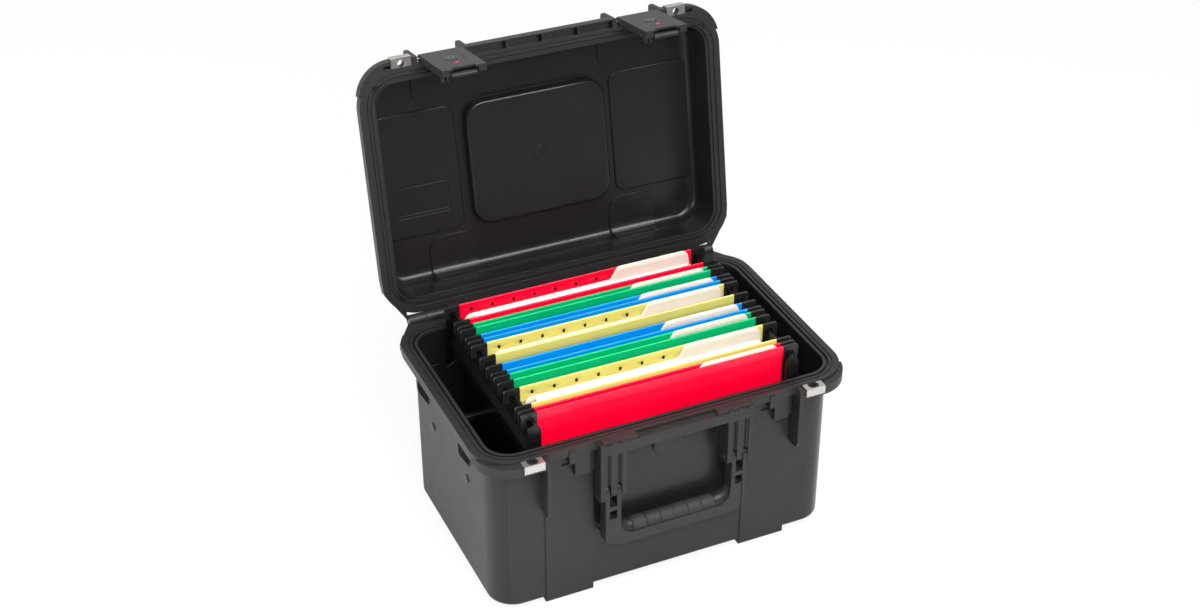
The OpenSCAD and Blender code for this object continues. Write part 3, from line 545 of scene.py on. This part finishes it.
def wave(x, z, k):
    """Slow waves of the board, which is never quite flat. They die out at the fold and below the rod."""
    share = math.sin(math.pi * min(1, max(0, (z - FOLDER_LOW) / (CONTENT_TOP - FOLDER_LOW))))
    long = LONG_WAVE * math.sin(x / LONG_STEP + k * WAVE_SHIFT)
    short = SHORT_WAVE * math.sin(x / SHORT_STEP + z / SLANT_STEP + k)
    return share * (long + short)


def leaf(k, back, slot):
    outer, turn, flap = leaf_profile(k, back)
    line = outer + turn + flap
    ends = {-FOLDER_HALF, FOLDER_HALF}
    xs = {i * COLUMN_STEP for i in range(-COLUMNS_EACH_SIDE, COLUMNS_EACH_SIDE + 1)}
    slots = SLOTS if back and k in WITH_PAPERS else []
    xs = {x for x in xs if all(abs(x - s) > SLOT_CLEAR for s in slots)} | ends
    for s in slots:
        xs |= {s - SLOT_HALF, s + SLOT_HALF}
    xs = sorted(xs)

    def in_slot(row, column):
        x = (xs[column] + xs[column + 1]) / 2
        z = (line[row][1] + line[row + 1][1]) / 2
        return SLOT_LOW < z < SLOT_HIGH and any(abs(x - s) < SLOT_HALF for s in slots)

    verts = [(x, y + wave(x, z, k), z) for y, z in outer for x in xs]
    verts += [(x, y, z) for y, z in turn + flap for x in xs]
    name = f"folder_{k}_{'back' if back else 'front'}_leaf"
    build(name, k, "sleeve", slot, BOARD, verts, grid_faces(len(line), len(xs), in_slot))


def rod_and_shade_strip(k):
    """Flat dark strip inside the top fold of the back leaf: the rod, and below it painted shade of the
    fold's inside, seen through the tab slots.
    """
    outer, _, flap = leaf_profile(k, True)
    outer_y = {z: y for y, z in outer}
    flap_y = {z: y for y, z in flap}
    # its top edge lies midway between board and flap as they are where the turn begins
    low_y, high_y = ((outer_y[z] + flap_y[z]) / 2 for z in (STRIP_LOW, FLAP_HEIGHTS[-1]))
    rows = ((low_y, STRIP_LOW), (high_y, STRIP_HIGH))
    verts = [(x, y, z) for y, z in rows for x in (-STRIP_HALF, STRIP_HALF)]
    build(f"rod_and_shade_strip_{k}_back", k, "sleeve", "hanger_rod", STRIP, verts, grid_faces(2, 2))


def manila_top(x, body, tab):
    """Height of a manila leaf at x: rounded corners, and an S-shaped shoulder up to the tab."""
    if x < LEFT_CORNER - MANILA_HALF:
        across = LEFT_CORNER - (x + MANILA_HALF)
        return body - LEFT_CORNER + math.sqrt(max(0, LEFT_CORNER**2 - across**2))
    if x > MANILA_HALF - RIGHT_CORNER:
        across = (RIGHT_CORNER - (MANILA_HALF - x)) / RIGHT_CORNER
        return body - CORNER_DROP + (tab - body + CORNER_DROP) * math.sqrt(max(0, 1 - across**CORNER_POWER))
    return body + (tab - body) * ease((x - TAB_START) / SHOULDER)


def manila_columns():
    """x of the columns of points, closer together at the corners and the shoulder."""
    left = [-MANILA_HALF + step for step in (0, 0.6, 1.5, 3, 5, LEFT_CORNER)]
    body = [i * 12 for i in range(-11, 4)]
    shoulder = [TAB_START + step for step in (-1, 1, 3, 5, 6.5, 8, 10, 12, SHOULDER)]
    tab = [72, 90, 105, 120, 132]
    right = [MANILA_HALF - step for step in (RIGHT_CORNER, 8, 6, 4, 2.4, 1.2, 0.4, 0)]
    return left + body + shoulder + tab + right


def manila(k):
    """Manila file. In a folder with papers only its back leaf is built."""
    middle, opening, fold_half = spread(k)
    tilt = math.atan((opening - fold_half) / (FOLDER_TOP - FOLDER_LOW - 5))
    foot_y = middle + fold_half - MANILA_GAP
    xs = manila_columns()
    leaves = [("back", BACK_OFFSET, MANILA_BODY, MANILA_TAB)]
    if k not in WITH_PAPERS:
        leaves.append(("front", FRONT_OFFSET, MANILA_FRONT, MANILA_FRONT))
    for side, offset, body, tab in leaves:
        verts = []
        for r in MANILA_ROWS:
            for x in xs:
                up = MANILA_FOOT + (manila_top(x, body, tab) - MANILA_FOOT) * r
                out = offset + MANILA_BOW * math.sin(x / BOW_STEP + k) * r * (1 - r)
                y = foot_y + out * math.cos(tilt) + up * math.sin(tilt)
                verts.append((x, y, CONTENT_LOW + up * math.cos(tilt) - out * math.sin(tilt)))
        faces = grid_faces(len(MANILA_ROWS), len(xs))
        build(f"manila_{k}_{side}", k, "file", "manila_card", MANILA, verts, faces)


def papers(k):
    """Letter sheets that lean in the folder, each with its own height, shift and bend."""
    middle, opening, _ = spread(k)
    rnd = random.Random(SHEET_SEED + k)
    for i in range(SHEETS):
        f = i / (SHEETS - 1)
        low_y = middle - PILE_LOW - PILE_LOW_DEPTH * f
        top_y = middle - PILE_HIGH - PILE_HIGH_DEPTH * f + (opening - PILE_CLEAR) * (LEAN - FAN * f)
        height = CONTENT_TOP - CONTENT_LOW - rnd.uniform(0, HEIGHT_SPREAD) - (SHORTER if i % 3 == 1 else 0)
        left = SHEET_LEFT + rnd.uniform(0, SHIFT_SPREAD)
        belly = rnd.uniform(-BELLY, BELLY)
        verts = []
        for r in range(SHEET_ROWS + 1):
            t = r / SHEET_ROWS
            for c in range(SHEET_COLUMNS + 1):
                x = left + SHEET_WIDTH * c / SHEET_COLUMNS
                bend = belly * math.sin(math.pi * t) + RIPPLE * math.sin(x / RIPPLE_STEP + i) * t
                verts.append((x, low_y + (top_y - low_y) * t + bend, CONTENT_LOW + height * t))
        faces = grid_faces(SHEET_ROWS + 1, SHEET_COLUMNS + 1)
        build(f"sheet_{k}_{i + 1}", k, "papers", "white_paper", PAPER, verts, faces)


for k, colour in enumerate(COLOURS, 1):
    leaf(k, True, "folder_" + colour)
    leaf(k, False, "folder_" + colour)
    if k in WITH_PAPERS:
        rod_and_shade_strip(k)
    manila(k)
    if k in WITH_PAPERS:
        papers(k)
